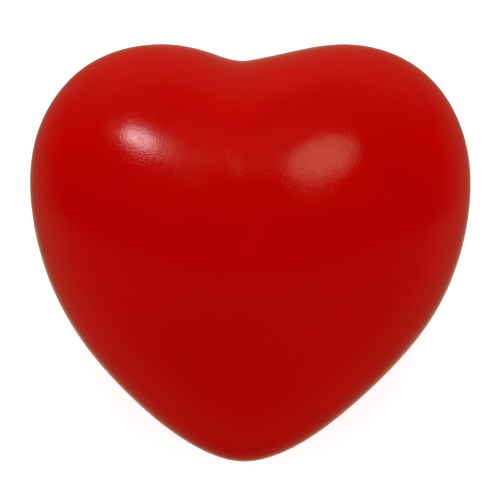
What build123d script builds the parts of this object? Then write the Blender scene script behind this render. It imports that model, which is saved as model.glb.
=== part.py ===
"""Heart-shaped stress ball: a moulded foam heart with its own dense skin and a red paint coat.

The heart lies on its back. +Z is up, out of the front face, +Y runs from the tip to the notch and
+X crosses the two lobes. The origin is the centre of the bounding box, on the flat rest face.

The foam is moulded in one shot, so the skin and the paint go all the way round it. Each of them is
made here as a front and a back shell that meet at the mould's parting plane, because the front and
the back come together when the heart is squeezed.
"""

from build123d import *
from math import acos, cos, hypot, sin
import os

# ---- Driving dimensions, in millimetres ----
WIDTH = 70.0  # across the two lobes
HEIGHT = 66.4  # tip to the tops of the lobes
DEPTH = 48.0  # rest face to the crown of the front

PAINT = 0.2  # sprayed coat of flexible paint
SKIN = 1.2  # dense layer that forms against the cold mould
CORE_CLEARANCE = 0.06  # between the core and the front skin, which moves against it

# ---- Shape of the mould cavity ----
REST_SCALE = 0.28  # size of the rest face, as a fraction of the full outline
CROWN_SCALE = 0.16  # size of the level cap on the front, as a fraction of the full outline
FULLNESS = 0.92  # below 1 the sides stand straighter than an ellipse's
CROWN_RADIUS_X = 31.0  # the outline rounds off towards this oval as it nears either face
CROWN_RADIUS_Y = 29.5
CROWN_SHIFT = -4.2  # how far the middles of the two faces lie along Y: below 0 is towards the tip
ROUNDING = 0.8  # power of the change from heart to oval: smaller is sooner
STEPS = 6  # outlines from the parting plane to each end

# The outline at the parting plane, clockwise from the notch: right lobe, tip, left lobe.
HEART = [
    (-0.3, 30.6),
    (6.0, 31.9),
    (16.0, 33.2),
    (27.0, 29.3),
    (33.5, 20.2),
    (34.8, 6.5),
    (29.9, -8.6),
    (16.3, -24.2),
    (5.0, -31.8),
    (-1.2, -33.2),
    (-8.0, -31.2),
    (-18.0, -23.9),
    (-29.8, -9.0),
    (-34.6, 5.5),
    (-33.8, 19.6),
    (-26.0, 29.9),
    (-14.5, 33.2),
    (-7.0, 32.0),
]


def end_angle(scale):
    """Angle from the parting plane at which the outline has shrunk to this scale."""
    return acos(scale ** (1 / FULLNESS))


REST_ANGLE = end_angle(REST_SCALE)
CROWN_ANGLE = end_angle(CROWN_SCALE)
DOME = DEPTH / (sin(REST_ANGLE) + sin(CROWN_ANGLE))  # height of either dome before its flat cut
PARTING = DOME * sin(REST_ANGLE)  # height of the parting plane

ANGLES = [-REST_ANGLE * step / STEPS for step in range(STEPS, 0, -1)]
ANGLES += [CROWN_ANGLE * step / STEPS for step in range(STEPS + 1)]


def outline(angle, inset):
    """The outline's points at an angle from the parting plane, drawn in by inset."""
    shrink = cos(angle) ** FULLNESS
    rounding = (1 - shrink) ** ROUNDING
    shift = CROWN_SHIFT * (1 - shrink)
    across = 1 - 2 * inset / WIDTH
    along = 1 - 2 * inset / HEIGHT
    points = []
    for x, y in HEART:
        reach = hypot(x / CROWN_RADIUS_X, y / CROWN_RADIUS_Y)
        round_x = x + (x / reach - x) * rounding
        round_y = y + (y / reach - y) * rounding
        points.append((across * shrink * round_x, along * (shrink * round_y + shift)))
    return points


def heart_form(inset):
    """A solid heart: the mould cavity's shape, drawn in by inset all round."""
    squash = 1 - 2 * inset / DEPTH
    with BuildPart() as form:
        for angle in ANGLES:
            height = PARTING + DOME * sin(angle)
            drawn_in = DEPTH / 2 + squash * (height - DEPTH / 2)
            with BuildSketch(Plane.XY.offset(drawn_in)):
                with BuildLine():
                    Spline(*outline(angle, inset), periodic=True)
                make_face()
        loft()
    return form.part


parting_plane = Plane.XY.offset(PARTING)


def half_shell(outside, inside, side):
    """The wall between two heart forms, on one side of the parting plane."""
    with BuildPart() as shell:
        add(outside)
        add(inside, mode=Mode.SUBTRACT)
        split(bisect_by=parting_plane, keep=side)
    return shell.part


paint_form = heart_form(0)
skin_form = heart_form(PAINT)
foam_form = heart_form(PAINT + SKIN)
loose_foam_form = heart_form(PAINT + SKIN + CORE_CLEARANCE)

# ---- Foam core: springy open cells, one solid, bonded to the back skin ----
with BuildPart() as core_front:
    add(loose_foam_form)
    split(bisect_by=parting_plane, keep=Keep.TOP)

with BuildPart() as foam_core:
    add(foam_form)
    split(bisect_by=parting_plane, keep=Keep.BOTTOM)
    add(core_front.part)

# ---- Skin and paint: a front and a back shell of each ----
pieces = {
    "foam_core": foam_core.part,
    "back_skin": half_shell(skin_form, foam_form, Keep.BOTTOM),
    "front_skin": half_shell(skin_form, foam_form, Keep.TOP),
    "back_paint": half_shell(paint_form, skin_form, Keep.BOTTOM),
    "front_paint": half_shell(paint_form, skin_form, Keep.TOP),
}

os.makedirs("parts", exist_ok=True)
for name, piece in pieces.items():
    piece.label = name
    export_step(piece, f"parts/{name}.step")
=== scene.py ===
"""A red heart-shaped stress ball of moulded foam, lying on its back and seen from straight above."""

import math
import random
from collections import namedtuple

import bmesh
import bpy
import numpy as np
from mathutils import Matrix, Vector, noise
from mathutils.bvhtree import BVHTree


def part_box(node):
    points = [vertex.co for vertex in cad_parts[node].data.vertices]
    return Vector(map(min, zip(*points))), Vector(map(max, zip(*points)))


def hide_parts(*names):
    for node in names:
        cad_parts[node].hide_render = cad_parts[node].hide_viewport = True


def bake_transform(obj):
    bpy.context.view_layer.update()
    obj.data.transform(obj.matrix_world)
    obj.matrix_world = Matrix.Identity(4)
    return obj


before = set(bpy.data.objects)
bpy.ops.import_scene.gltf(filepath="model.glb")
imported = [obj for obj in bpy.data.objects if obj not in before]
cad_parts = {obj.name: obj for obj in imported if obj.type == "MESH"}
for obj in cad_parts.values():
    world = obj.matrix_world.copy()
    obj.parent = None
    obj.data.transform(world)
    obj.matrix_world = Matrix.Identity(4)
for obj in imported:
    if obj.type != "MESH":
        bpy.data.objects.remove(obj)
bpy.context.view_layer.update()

MM = 0.001  # the frame is in metres

# ---- The frame ----
PAINT_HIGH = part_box("back_paint")[1]
PARTING = PAINT_HIGH.z
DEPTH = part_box("front_paint")[1].z
PAINT = PAINT_HIGH.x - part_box("back_skin")[1].x
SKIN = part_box("back_skin")[1].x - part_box("foam_core")[1].x
CENTRE = Vector((0, 0, PARTING))
OUTSIDE = 100 * MM  # from the centre to a place well clear of the heart, where rays start

# ---- The grid that is cast onto the CAD shells ----
COLUMNS = 112  # quads along each edge of the cube that the coat's grid starts from
ROWS = 132  # quads from the back face of that cube to the front one
CROWDING = 0.35  # spacing of the rows at the parting line, as a share of even spacing
COARSE = 44  # quads along each edge of the cube for everything under the coat
WELD = 0.002 * MM  # corners of the CAD shells closer than this are one
OUTWARD = 0.2  # least cosine between an outward face's normal and the direction from the centre
ROUNDNESS = 0.75  # how far a point moves from its flat facet towards the curve through the corners
SHRINK, GROW = 0.5, -0.52  # pulls towards the neighbours, in turn, that smooth and keep the size
SMOOTHING = 12  # passes all over
CROWN_SMOOTHING = 20  # passes round the cap on the front
CROWN_MARGIN = 0.6  # how far past the cap's edge they reach, as a share of its radius
CROWN_SLOPE = 0.087  # of the dome where the cap cuts it

# ---- Surface detail ----
WAVE_HEIGHT = 0.10 * MM
WAVE_LENGTH = 19 * MM
RIPPLE_HEIGHT = 0.022 * MM
RIPPLE_LENGTH = 6 * MM
TABLE_MARGIN = 3 * MM  # the waves fade out over this height above the rest face
FLASH_HEIGHT = 0.09 * MM
FLASH_WIDTH = 0.24 * MM
FLASH_UNEVENNESS = 0.35  # share of its height that comes and goes along it
FLASH_LENGTH = 4 * MM  # of one stretch of it
SCAR_PLACE = Vector((0, 19 * MM, 0))
SCAR_RADIUS = 1.9 * MM
SCAR_DEPTH = 0.16 * MM
SCAR_RIM = 0.28  # width of the scar's raised rim, as a share of its radius
SCAR_RIM_HEIGHT = 0.5  # as a share of the scar's depth
SCAR_REACH = 1.15  # from the scar's middle to the edge of its dish, as a share of its radius
FRONT_SPECKS = ((-21.9, -1.5, 0.17), (20.8, 0.1, 0.14), (14.5, 26.6, 0.15))  # x, y and radius, in mm
FINE_SPECKS = 22
FINE_SPECK_RADIUS = (0.06 * MM, 0.12 * MM)
SPECK_HEIGHT = 0.42  # as a share of its radius
SPECK_ROOT = 0.25  # how far its rim is sunk into the paint, as a share of its radius

# ---- Walls, as shares of the paint's and the skin's thickness, so that no two surfaces touch ----
PAINT_INSIDE = 0.9
SKIN_OUTSIDE = 1.1
SKIN_INSIDE = 0.97
CORE_OUTSIDE = 1.03
CORE_PIT_DEPTH = 0.5 * MM
CORE_PIT_SPACING = 1.5 * MM
CORE_PIT_REACH = 0.45  # from a pit's middle to its edge, in spacings

# ---- Softboxes, which light the heart and aren't mirrored: place and size in metres, and power ----
SOFTBOXES = {
    "softbox_above": ((0, 0, 2.0), 3.0, 30.5),
    "softbox_far": ((0, 2.2, 1.2), 1.6, 24.0),
    "softbox_below": ((0, 0, -1.0), 6.0, 88.0),
}
SIDE_BOXES = 6  # in a ring round the heart
SIDE_DISTANCE = 2.0
SIDE_HEIGHT = 0.25
SIDE_SIZE = 2.0
SIDE_POWER = 18.5

# ---- The room, which only the gloss mirrors ----
ROOM_RADIUS = 4.0
ROOM_GRID = 16  # quads along each edge of the dome's cube
LAMP_DISTANCE = 0.9 * ROOM_RADIUS
# UP ramps go by height, from straight down (0) to straight up (1), and ALONG ramps from the room's
# near side (0) to its far side (1).
FAR_GLOW_UP = (
    (0.07, 0.0), (0.25, 0.05), (0.35, 0.09), (0.45, 0.125), (0.5, 0.115),
    (0.55, 0.08), (0.59, 0.055), (0.72, 0.05), (0.78, 0.0),
)
FAR_GLOW_ALONG = ((0.75, 0.0), (0.93, 1.0))
UNDER_UP = ((0.0, 0.4), (0.05, 0.22), (0.1, 0.15), (0.2, 0.12), (0.3, 0.07), (0.4, 0.03), (0.47, 0.0))
UNDER_ALONG = ((0.1, 0.0), (0.3, 0.5), (0.5, 1.0))
NEAR_UP = (
    (0.0, 6.0), (0.06, 0.3), (0.2, 0.5), (0.3, 1.6),
    (0.4, 1.9), (0.5, 1.6), (0.6, 1.2), (0.75, 1.0),
)
NEAR_ALONG = ((0.0, 0.028), (0.25, 0.04), (0.48, 0.05), (0.5, 0.0))
GLOWS = ((FAR_GLOW_UP, FAR_GLOW_ALONG), (UNDER_UP, UNDER_ALONG), (NEAR_UP, NEAR_ALONG))
WARM = (1.0, 0.98, 0.62)
NEUTRAL = (1.0, 0.98, 0.94)
LAMP_FALL = ((0.0, 1.0), (0.4, 0.8), (0.7, 0.25), (1.0, 0.0))
WINDOW_FALL = ((0.0, 1.0), (0.65, 0.9), (0.88, 0.28), (1.0, 0.0))
# An oval as seen from the heart, in degrees: where its middle is and how it is spun (see towards and
# facing), and how far its edges are from its middle along its width and its height.
Oval = namedtuple("Oval", "across tilt width height spin")
# Lamps: oval and radiance. Spots on the dome: oval, fall towards the edge, and brightness.
LAMPS = {
    "lamp": (Oval(-37.1, 58.0, 4.5, 7.0, 38.5), 6.5),
    "lamp_core": (Oval(-40.0, 59.8, 2.4, 3.4, 38.5), 4.5),
}
LAMP_HALO = (Oval(-37.5, 59.7, 9.5, 9.7, 38.5), LAMP_FALL, 0.8)
WARM_SPOTS = {
    "window": (Oval(26.5, 45.4, 14.8, 10.0, 14.0), WINDOW_FALL, 1.9),
    "middle of the window": (Oval(30.0, 41.0, 13.0, 8.0, 14.0), LAMP_FALL, 0.3),
    "left of the window": (Oval(10.0, 46.0, 7.0, 4.5, 0.0), LAMP_FALL, 0.5),
    "right of the lamp": (Oval(-21.0, 45.0, 16.0, 6.5, 0.0), LAMP_FALL, 0.22),
    "between the two": (Oval(-3.0, 51.0, 25.0, 14.0, 0.0), WINDOW_FALL, 0.12),
    "tail of the lamp": (Oval(-28.5, 50.5, 8.5, 6.0, 25.0), LAMP_FALL, 1.25),
    "left of the lamp": (Oval(-45.5, 68.0, 6.0, 6.0, 0.0), LAMP_FALL, 0.6),
    "over the lamp": (Oval(-26.0, 38.0, 12.0, 6.0, 0.0), LAMP_FALL, 0.13),
    "over the window": (Oval(32.0, 34.0, 12.0, 5.0, 0.0), LAMP_FALL, 0.15),
}

# ---- Floor and camera ----
FLOOR_SIZE = 2.8  # in metres
FLOOR_GLOW = 0.45
LENS, SENSOR = 150.0, 36.0  # in millimetres
VIEW_WIDTH = 79.75 * MM  # what the picture spans at the parting line
EYE_SHIFT = (-0.06 * MM, 0.43 * MM)  # of the camera from the heart's middle, along X and Y


# ---- The moulded surface, taken from the CAD shells ----
def outer_surface(*nodes):
    """The outward faces of some CAD shells as one tree, with smooth normals at their corners."""
    bm = bmesh.new()
    for name in nodes:
        bm.from_mesh(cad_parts[name].data)
    bm.faces.ensure_lookup_table()
    from_centre = [(f, (f.calc_center_median() - CENTRE).normalized()) for f in bm.faces]
    inward = [f for f, outward in from_centre if f.normal.dot(outward) < OUTWARD]
    bmesh.ops.delete(bm, geom=inward, context="FACES")
    bmesh.ops.remove_doubles(bm, verts=bm.verts, dist=WELD)
    bmesh.ops.triangulate(bm, faces=bm.faces)
    bm.normal_update()
    bm.faces.ensure_lookup_table()
    tree = BVHTree.FromBMesh(bm)
    corners = [[(v.co.copy(), v.normal.copy()) for v in f.verts] for f in bm.faces]
    bm.free()
    return tree, corners


def rounded_hit(tree, corners, direction):
    """Where a ray from outside meets the surface, moved off the flat facet onto the round one."""
    hit, _, index, _ = tree.ray_cast(CENTRE + direction * OUTSIDE, -direction)
    (a, na), (b, nb), (c, nc) = corners[index]
    full = (b - a).cross(c - a).length
    wa = (b - hit).cross(c - hit).length / full
    wb = (c - hit).cross(a - hit).length / full
    wc = 1 - wa - wb
    rounded = Vector()
    for corner, normal, weight in ((a, na, wa), (b, nb, wb), (c, nc, wc)):
        rounded += weight * (hit - normal * (hit - corner).dot(normal))
    return hit.lerp(rounded, ROUNDNESS)


def sphere_grid(columns, rows, crowding=1.0):
    """Directions and quads of a cube blown up to a sphere. Its rows crowd together at the equator."""
    turn = [math.tan(math.pi / 4 * (2 * i / columns - 1)) for i in range(columns + 1)]
    steps = [2 * j / rows - 1 for j in range(rows + 1)]
    rise = [math.tan(math.pi / 4 * s * (crowding + (1 - crowding) * s * s)) for s in steps]
    places = {}
    quads = []

    def index(x, y, z):
        key = tuple(round(k, 9) for k in Vector((x, y, z)).normalized())
        return places.setdefault(key, len(places))

    for i in range(columns):
        for j in range(columns):
            u0, u1, v0, v1 = turn[i], turn[i + 1], turn[j], turn[j + 1]
            quads.append([index(u0, v0, 1), index(u1, v0, 1), index(u1, v1, 1), index(u0, v1, 1)])
            quads.append([index(u0, v1, -1), index(u1, v1, -1), index(u1, v0, -1), index(u0, v0, -1)])
    for side in range(4):
        c, s = round(math.cos(side * math.pi / 2)), round(math.sin(side * math.pi / 2))
        for i in range(columns):
            for j in range(rows):
                t0, t1, z0, z1 = turn[i], turn[i + 1], rise[j], rise[j + 1]
                corners = ((t0, z0), (t1, z0), (t1, z1), (t0, z1))
                quads.append([index(c - s * t, s + c * t, z) for t, z in corners])
    return [Vector(k) for k in places], quads


class Surface:
    """A closed grid of quads with numpy tools for smoothing it and moving it along its normals."""

    def __init__(self, points, quads):
        self.co = np.array([tuple(p) for p in points])
        self.quads = np.array(quads)
        edges = np.vstack([self.quads[:, [k, (k + 1) % 4]] for k in range(4)])
        edges = np.unique(np.sort(edges, axis=1), axis=0)
        self.ends = edges.T.ravel(), edges[:, ::-1].T.ravel()
        self.valence = np.bincount(self.ends[0], minlength=len(self.co))[:, None]

    def normals(self):
        a, b, c, d = (self.co[self.quads[:, k]] for k in range(4))
        face = np.cross(c - a, d - b)
        total = np.zeros_like(self.co)
        for k in range(4):
            np.add.at(total, self.quads[:, k], face)
        return total / np.linalg.norm(total, axis=1, keepdims=True)

    def smooth(self, passes, where=1.0):
        """Evens out the surface without shrinking it, as far as where (0 to 1) says."""
        here, there = self.ends
        for step in range(2 * passes):
            pull = SHRINK if step % 2 == 0 else GROW
            around = [np.bincount(here, self.co[there, k], len(self.co)) for k in range(3)]
            self.co += pull * where * (np.stack(around, axis=1) / self.valence - self.co)

    def push(self, distance):
        self.co += self.normals() * np.asarray(distance).reshape(-1, 1)

    def copy(self, distance):
        """The same grid, moved in by a distance."""
        other = object.__new__(Surface)
        other.co = self.co.copy()
        other.quads, other.ends, other.valence = self.quads, self.ends, self.valence
        other.push(-distance)
        return other


def field(points, length, seed):
    """Smooth noise from -1 to 1 at each point, with bumps about this long."""
    offset = Vector((seed * 7.3, seed * 3.1, seed * 5.7))
    return np.array([noise.noise(Vector(p) / length + offset) for p in points])


def moulded_surface(columns, rows, crowding=1.0):
    """The heart's smooth outside, on a grid of this fineness."""
    tree, corners = outer_surface("front_paint", "back_paint")
    directions, quads = sphere_grid(columns, rows, crowding)
    surface = Surface([rounded_hit(tree, corners, d) for d in directions], quads)
    round_the_crown(surface)
    rest_on_the_table(surface)
    surface.smooth(SMOOTHING)
    surface.push(WAVE_HEIGHT * field(surface.co, WAVE_LENGTH, 1) * off_the_table(surface.co))
    surface.push(RIPPLE_HEIGHT * field(surface.co, RIPPLE_LENGTH, 2) * off_the_table(surface.co))
    rest_on_the_table(surface)
    return surface


def rest_on_the_table(surface):
    """Flattens whatever reaches below the rest face."""
    surface.co[:, 2] = np.maximum(surface.co[:, 2], 0)


def off_the_table(points):
    """0 on the rest face, rising to 1 a few millimetres above it."""
    return np.clip(points[:, 2] / TABLE_MARGIN, 0, 1)


def round_the_crown(surface):
    """Gives the level cap at the top of the front the last of the dome's curve."""
    cap = surface.co[surface.co[:, 2] > DEPTH - 0.01 * MM]
    middle = (cap.min(0) + cap.max(0)) / 2
    radius = (cap.max(0) - cap.min(0))[:2] / 2
    reach = (((surface.co[:, :2] - middle[:2]) / radius) ** 2).sum(1)
    above = surface.co[:, 2] > PARTING
    surface.co[:, 2] += above * CROWN_SLOPE * radius.mean() / 2 * np.clip(1 - reach, 0, 1)
    near = above * np.clip(1 + CROWN_MARGIN - np.sqrt(reach), 0, CROWN_MARGIN) / CROWN_MARGIN
    surface.smooth(CROWN_SMOOTHING, near[:, None])


# ---- Mesh helpers ----
def mesh_object(name, parts):
    """One object from (points, faces) parts, shaded smooth."""
    points, faces = [], []
    for part_points, part_faces in parts:
        start = len(points)
        points += [tuple(p) for p in part_points]
        faces += [[start + i for i in f] for f in part_faces]
    mesh = bpy.data.meshes.new(name)
    mesh.from_pydata(points, [], faces)
    mesh.validate()
    mesh.shade_smooth()
    piece = bpy.data.objects.new(name, mesh)
    bpy.context.scene.collection.objects.link(piece)
    return piece


def shell(name, outside, inside, extras=()):
    """A closed wall: the outside surface, and the inside one turned to face the hollow."""
    walls = [(outside.co, outside.quads.tolist()), (inside.co, inside.quads[:, ::-1].tolist())]
    return mesh_object(name, walls + list(extras))


def stress_ball_piece(piece, material, slot, *nodes):
    """Gives a soft piece its material, hides the CAD nodes that it stands in for, and bakes its
    transform.
    """
    piece.data.materials.append(material)
    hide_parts(*nodes)
    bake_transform(piece)
    return piece


# ---- Paint coat ----
def add_flash_line(surface):
    """The trimmed line that the two halves of the mould leave, under the paint."""
    height = np.exp(-(((surface.co[:, 2] - PARTING) / FLASH_WIDTH) ** 2))
    uneven = 1 - FLASH_UNEVENNESS + FLASH_UNEVENNESS * field(surface.co, FLASH_LENGTH, 3)
    surface.push(FLASH_HEIGHT * height * uneven)


def add_filling_scar(surface):
    """The shallow round scar on the back, where the mould was filled."""
    flat = surface.co[:, :2] - np.array(SCAR_PLACE[:2])
    reach = np.linalg.norm(flat, axis=1) / SCAR_RADIUS
    below = surface.co[:, 2] < PARTING
    rim = np.exp(-(((reach - 1) / SCAR_RIM) ** 2))
    dish = np.clip(SCAR_REACH - reach, 0, 1)
    surface.push(below * SCAR_DEPTH * (SCAR_RIM_HEIGHT * rim - dish))


def paint_nib(surface_tree, direction, radius):
    """A speck of dust under the paint: a low dome, sunk into the surface."""
    place, normal, _, _ = surface_tree.ray_cast(CENTRE + direction * OUTSIDE, -direction)
    turn = normal.to_track_quat("Z", "Y").to_matrix()
    rings, segments = 4, 14
    points = [place + turn @ Vector((0, 0, SPECK_HEIGHT * radius))]
    for ring in range(1, rings + 1):
        lean = ring / rings * math.pi / 2
        for k in range(segments):
            around = 2 * math.pi * k / segments
            out = radius * math.sin(lean)
            up = radius * SPECK_HEIGHT * math.cos(lean) - (SPECK_ROOT * radius if ring == rings else 0)
            points.append(place + turn @ Vector((out * math.cos(around), out * math.sin(around), up)))
    faces = [[0, 1 + k, 1 + (k + 1) % segments] for k in range(segments)]
    for ring in range(rings - 1):
        a, b = 1 + ring * segments, 1 + (ring + 1) * segments
        for k in range(segments):
            n = (k + 1) % segments
            faces.append([a + k, b + k, b + n, a + n])
    under = [1 + (rings - 1) * segments + k for k in range(segments)]
    faces.append(under[::-1])
    return points, faces


def specks(surface):
    """Three specks on the front and a scatter of finer ones all round."""
    tree = BVHTree.FromPolygons([Vector(p) for p in surface.co], surface.quads.tolist())
    rng = random.Random(11)
    found = []
    for x, y, radius in FRONT_SPECKS:
        above, _, _, _ = tree.ray_cast(Vector((x * MM, y * MM, OUTSIDE)), Vector((0, 0, -1)))
        found.append(paint_nib(tree, (above - CENTRE).normalized(), radius * MM))
    for _ in range(FINE_SPECKS):
        direction = Vector((rng.gauss(0, 1), rng.gauss(0, 1), rng.gauss(-0.5, 0.8))).normalized()
        if direction.z > -0.9:  # off the rest face
            found.append(paint_nib(tree, direction, rng.uniform(*FINE_SPECK_RADIUS)))
    return found


def make_paint(fine, coarse):
    add_flash_line(fine)
    add_filling_scar(fine)
    piece = shell("paint_coat", fine, coarse.copy(PAINT * PAINT_INSIDE), specks(fine))
    return stress_ball_piece(piece, red_paint(), "red_paint", "front_paint", "back_paint")


# ---- Skin and foam ----
def make_skin(coarse):
    outside, inside = coarse.copy(PAINT * SKIN_OUTSIDE), coarse.copy(PAINT + SKIN * SKIN_INSIDE)
    piece = shell("integral_skin", outside, inside)
    return stress_ball_piece(piece, moulded_skin(), "moulded_skin", "front_skin", "back_skin")


def make_foam(coarse):
    """The core, with the open mouths of its cells as pits all over."""
    core = coarse.copy(PAINT + SKIN * CORE_OUTSIDE)
    pits = []
    for p in core.co:
        near, _ = noise.voronoi(Vector(p) / CORE_PIT_SPACING)
        pits.append(np.clip(CORE_PIT_REACH - near[0], 0, CORE_PIT_REACH))
    core.push(-CORE_PIT_DEPTH * np.array(pits))
    piece = mesh_object("foam_core_cells", [(core.co, core.quads.tolist())])
    return stress_ball_piece(piece, foam_cells(), "foam_cells", "foam_core")


# ---- Materials ----
class Nodes:
    """A material's node tree, with short ways to add and link nodes."""

    def __init__(self, name):
        self.material = bpy.data.materials.new(name)
        self.material.use_nodes = True
        self.tree = self.material.node_tree
        self.tree.nodes.clear()
        self.shader = self.add("ShaderNodeBsdfPrincipled")
        out = self.add("ShaderNodeOutputMaterial")
        self.link(self.shader.outputs["BSDF"], out.inputs["Surface"])
        self.place = self.add("ShaderNodeTexCoord").outputs["Object"]

    def add(self, kind, **settings):
        node = self.tree.nodes.new(kind)
        for key, value in settings.items():
            setattr(node, key, value)
        return node

    def link(self, output, socket):
        self.tree.links.new(output, socket)

    def noise(self, length, detail=2.0, roughness=0.5):
        """Noise whose bumps are about this many metres long."""
        node = self.add("ShaderNodeTexNoise")
        self.link(self.place, node.inputs["Vector"])
        node.inputs["Scale"].default_value = 1 / length
        node.inputs["Detail"].default_value = detail
        node.inputs["Roughness"].default_value = roughness
        return node.outputs["Fac"]

    def cells(self, length, feature="F1"):
        """Distance from the middles of cells about this many metres wide, or from their edges."""
        node = self.add("ShaderNodeTexVoronoi", feature=feature)
        self.link(self.place, node.inputs["Vector"])
        node.inputs["Scale"].default_value = 1 / length
        return node.outputs["Distance"]

    def ramp(self, value, *stops):
        """Colours or greys by value, from stops of position and colour."""
        node = self.add("ShaderNodeValToRGB")
        self.link(value, node.inputs["Fac"])
        elements = node.color_ramp.elements
        while len(elements) < len(stops):
            elements.new(0.5)
        for element, (position, colour) in zip(elements, stops):
            element.position = position
            element.color = (*colour, 1) if hasattr(colour, "__len__") else (colour, colour, colour, 1)
        return node.outputs["Color"]

    def spread(self, value, low, high, from_low=0.3, from_high=0.7):
        """Maps one range onto another. Noise mostly lies from 0.3 to 0.7."""
        node = self.add("ShaderNodeMapRange")
        self.link(value, node.inputs["Value"])
        node.inputs["From Min"].default_value = from_low
        node.inputs["From Max"].default_value = from_high
        node.inputs["To Min"].default_value = low
        node.inputs["To Max"].default_value = high
        return node.outputs["Result"]

    def bump(self, height, depth, strength, under=None):
        """Normals for a relief this many metres deep, on top of the ones under it."""
        node = self.add("ShaderNodeBump")
        node.inputs["Strength"].default_value = strength
        node.inputs["Distance"].default_value = depth
        self.link(height, node.inputs["Height"])
        if under is not None:
            self.link(under, node.inputs["Normal"])
        return node.outputs["Normal"]


def red_paint():
    """Glossy flexible paint: a fine pebble from the foam's skin shows through it."""
    m = Nodes("red_flexible_paint")
    deep_red, light_red = (0.415, 0.0004, 0.0002), (0.455, 0.0006, 0.0003)
    shade = m.ramp(m.noise(14 * MM, detail=3), (0.3, deep_red), (0.7, light_red))
    m.link(shade, m.shader.inputs["Base Color"])
    gloss = m.noise(0.6 * MM, detail=4, roughness=0.6)
    m.link(m.spread(gloss, low=0.11, high=0.18), m.shader.inputs["Roughness"])
    pit_shape = m.spread(m.cells(0.5 * MM), low=0, high=1, from_low=0.0, from_high=0.4)
    pits = m.bump(pit_shape, depth=0.008 * MM, strength=1.0)
    pebble_shape = m.noise(0.42 * MM, detail=1, roughness=0.5)
    pebble = m.bump(pebble_shape, depth=0.02 * MM, strength=0.3, under=pits)
    peel = m.bump(m.noise(2.6 * MM, detail=1), depth=0.05 * MM, strength=0.35, under=pebble)
    m.link(peel, m.shader.inputs["Normal"])
    m.shader.inputs["IOR"].default_value = 1.46
    return m.material


def moulded_skin():
    """Dense cream skin with pinholes, which the paint hides."""
    m = Nodes("moulded_foam_skin")
    tan, cream = (0.66, 0.5, 0.31), (0.78, 0.62, 0.42)
    shade = m.ramp(m.noise(6 * MM, detail=4), (0.3, tan), (0.7, cream))
    m.link(shade, m.shader.inputs["Base Color"])
    pinholes = m.spread(m.cells(1.1 * MM), low=0.0, high=1.0, from_low=0.04, from_high=0.14)
    m.link(m.spread(m.noise(2 * MM), low=0.42, high=0.58), m.shader.inputs["Roughness"])
    m.link(m.bump(pinholes, depth=0.1 * MM, strength=0.6), m.shader.inputs["Normal"])
    return m.material


def foam_cells():
    """Open-cell foam: pale struts round pits that are darkened with painted shade."""
    m = Nodes("open_cell_foam")
    pale, dark = (0.86, 0.76, 0.55), (0.46, 0.34, 0.19)
    struts = m.cells(1.2 * MM, "DISTANCE_TO_EDGE")
    # The middles of the cells are painted darker than the struts: this is painted shade in the pits.
    m.link(m.ramp(struts, (0.02, pale), (0.2, dark)), m.shader.inputs["Base Color"])
    m.shader.inputs["Roughness"].default_value = 0.85
    relief = m.spread(struts, low=1.0, high=0.0, from_low=0.0, from_high=0.25)
    m.link(m.bump(relief, depth=0.3 * MM, strength=0.8), m.shader.inputs["Normal"])
    return m.material


def floor_material():
    m = Nodes("pale_floor")
    m.link(m.ramp(m.noise(0.2, detail=1), (0.3, 0.86), (0.7, 0.9)), m.shader.inputs["Base Color"])
    m.shader.inputs["Roughness"].default_value = 0.9
    m.shader.inputs["Emission Color"].default_value = (1, 1, 1, 1)
    m.shader.inputs["Emission Strength"].default_value = FLOOR_GLOW
    m.material.cycles.emission_sampling = "NONE"
    return m.material


# ---- Floor, light and camera ----
def make_floor():
    """A pale floor that the camera sees. It ends where the softboxes no longer make it white."""
    half = FLOOR_SIZE / 2
    corners = [(-half, -half, 0), (half, -half, 0), (half, half, 0), (-half, half, 0)]
    floor = mesh_object("floor", [(corners, [[0, 1, 2, 3]])])
    floor.data.materials.append(floor_material())
    floor.visible_glossy = floor.visible_diffuse = floor.visible_shadow = False


def make_world():
    """The plain white that stands behind everything. The lights below do the lighting."""
    world = bpy.data.worlds.new("studio")
    bpy.context.scene.world = world
    world.use_nodes = True
    background = world.node_tree.nodes["Background"]
    background.inputs["Color"].default_value = (1, 1, 1, 1)
    world.cycles_visibility.diffuse = world.cycles_visibility.glossy = False


def softbox(name, place, size, power):
    """A big soft light that faces the heart, and that the gloss doesn't mirror."""
    light = bpy.data.lights.new(name, "AREA")
    light.size = size
    light.energy = power
    light.cycles.use_multiple_importance_sampling = False
    lamp = bpy.data.objects.new(name, light)
    lamp.location = place
    lamp.rotation_euler = (CENTRE - Vector(place)).to_track_quat("-Z", "Y").to_euler()
    lamp.visible_glossy = False
    bpy.context.scene.collection.objects.link(lamp)


def make_softboxes():
    for name, (place, size, power) in SOFTBOXES.items():
        softbox(name, place, size, power)
    for k in range(SIDE_BOXES):
        turn = 2 * math.pi * (k + 0.5) / SIDE_BOXES
        place = (SIDE_DISTANCE * math.cos(turn), SIDE_DISTANCE * math.sin(turn), SIDE_HEIGHT)
        softbox(f"softbox_side_{k + 1}", place, SIDE_SIZE, SIDE_POWER)


def towards(across, tilt):
    """The direction at this tilt from straight up, turned across from +Y towards +X, in degrees."""
    across, tilt = math.radians(across), math.radians(tilt)
    return Vector((math.sin(across) * math.sin(tilt), math.cos(across) * math.sin(tilt), math.cos(tilt)))


def facing(across, tilt, spin):
    """The turn that points +Z this way and then spins about it. A positive spin lowers the right end."""
    turn = towards(across, tilt).to_track_quat("Z", "Y").to_matrix().to_4x4()
    return turn @ Matrix.Rotation(math.radians(spin), 4, "Z")


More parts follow.
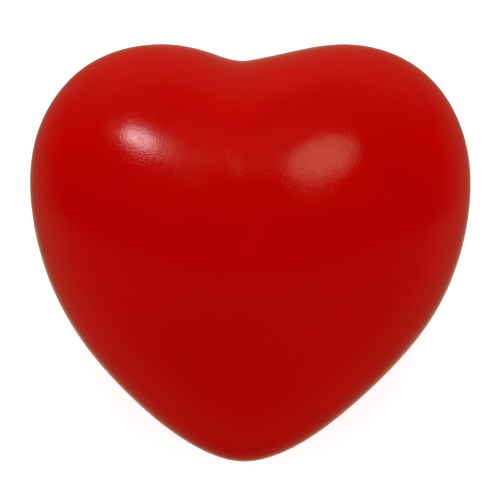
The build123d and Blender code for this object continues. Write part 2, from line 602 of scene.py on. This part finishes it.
def make_lamp(name, oval, radiance):
    """A bright oval lamp that the gloss mirrors."""
    light = bpy.data.lights.new(name, "AREA")
    light.shape = "ELLIPSE"
    light.size = 2 * LAMP_DISTANCE * math.tan(math.radians(oval.width))
    light.size_y = 2 * LAMP_DISTANCE * math.tan(math.radians(oval.height))
    light.energy = radiance * math.pi * light.size * light.size_y
    lamp = bpy.data.objects.new(name, light)
    lamp.location = towards(oval.across, oval.tilt) * LAMP_DISTANCE
    lamp.rotation_euler = facing(oval.across, oval.tilt, oval.spin).to_euler()
    lamp.visible_camera = lamp.visible_diffuse = False
    bpy.context.scene.collection.objects.link(lamp)


def soft_spot(m, oval, fall, brightness):
    """A soft-edged oval on the room's dome."""
    mapping = m.add("ShaderNodeMapping", vector_type="TEXTURE")
    mapping.inputs["Location"].default_value = towards(oval.across, oval.tilt) * ROOM_RADIUS
    mapping.inputs["Rotation"].default_value = facing(oval.across, oval.tilt, oval.spin).to_euler()
    half = [math.tan(math.radians(angle)) * ROOM_RADIUS for angle in (oval.width, oval.height)]
    mapping.inputs["Scale"].default_value = (*half, ROOM_RADIUS)
    m.link(m.place, mapping.inputs["Vector"])
    reach = m.add("ShaderNodeVectorMath", operation="LENGTH")
    m.link(mapping.outputs["Vector"], reach.inputs[0])
    return combined(m, "MULTIPLY", m.ramp(reach.outputs["Value"], *fall), brightness)


def combined(m, operation, first, second):
    """Two brightnesses added or multiplied, where either may be a number or a node's output."""
    node = m.add("ShaderNodeMath", operation=operation)
    for socket, value in zip(node.inputs, (first, second)):
        if hasattr(value, "links"):
            m.link(value, socket)
        else:
            socket.default_value = value
    return node.outputs["Value"]


def room_material():
    """What the gloss mirrors: dark overhead, pale low down, with a window and the halo of a lamp."""
    m = Nodes("room")
    m.tree.nodes.remove(m.shader)
    split = m.add("ShaderNodeSeparateXYZ")
    m.link(m.place, split.inputs["Vector"])
    across_the_room = {"low": 0, "high": 1, "from_low": -ROOM_RADIUS, "from_high": ROOM_RADIUS}
    along = m.spread(split.outputs["Y"], **across_the_room)
    up = m.spread(split.outputs["Z"], **across_the_room)
    warm = 0.0
    for up_ramp, along_ramp in GLOWS:
        glow = combined(m, "MULTIPLY", m.ramp(up, *up_ramp), m.ramp(along, *along_ramp))
        warm = combined(m, "ADD", warm, glow)
    for spot in WARM_SPOTS.values():
        warm = combined(m, "ADD", warm, soft_spot(m, *spot))
    halo = soft_spot(m, *LAMP_HALO)
    both = m.add("ShaderNodeAddShader")
    for socket, colour, brightness in ((0, WARM, warm), (1, NEUTRAL, halo)):
        glow = m.add("ShaderNodeEmission")
        glow.inputs["Color"].default_value = (*colour, 1)
        m.link(brightness, glow.inputs["Strength"])
        m.link(glow.outputs["Emission"], both.inputs[socket])
    m.link(both.outputs["Shader"], m.tree.nodes["Material Output"].inputs["Surface"])
    m.material.cycles.emission_sampling = "NONE"
    return m.material


def make_room():
    """A large dome that only reflections see."""
    points, quads = sphere_grid(ROOM_GRID, ROOM_GRID)
    room = mesh_object("room", [([p * ROOM_RADIUS for p in points], quads)])
    room.data.materials.append(room_material())
    room.visible_camera = room.visible_diffuse = room.visible_shadow = False


def make_camera():
    """Straight above, far enough for the outline to be the parting line's."""
    camera = bpy.data.cameras.new("camera")
    camera.lens = LENS
    camera.sensor_width = SENSOR
    eye = bpy.data.objects.new("camera", camera)
    eye.location = (*EYE_SHIFT, PARTING + VIEW_WIDTH * LENS / SENSOR)
    bpy.context.scene.collection.objects.link(eye)
    bpy.context.scene.camera = eye


fine_surface = moulded_surface(COLUMNS, ROWS, CROWDING)
coarse_surface = moulded_surface(COARSE, COARSE)
make_paint(fine_surface, coarse_surface)
make_skin(coarse_surface)
make_foam(coarse_surface)
make_floor()
make_world()
make_softboxes()
for lamp_name, (lamp_oval, lamp_radiance) in LAMPS.items():
    make_lamp(lamp_name, lamp_oval, lamp_radiance)
make_room()
make_camera()
bpy.context.scene.view_settings.view_transform = "Standard"
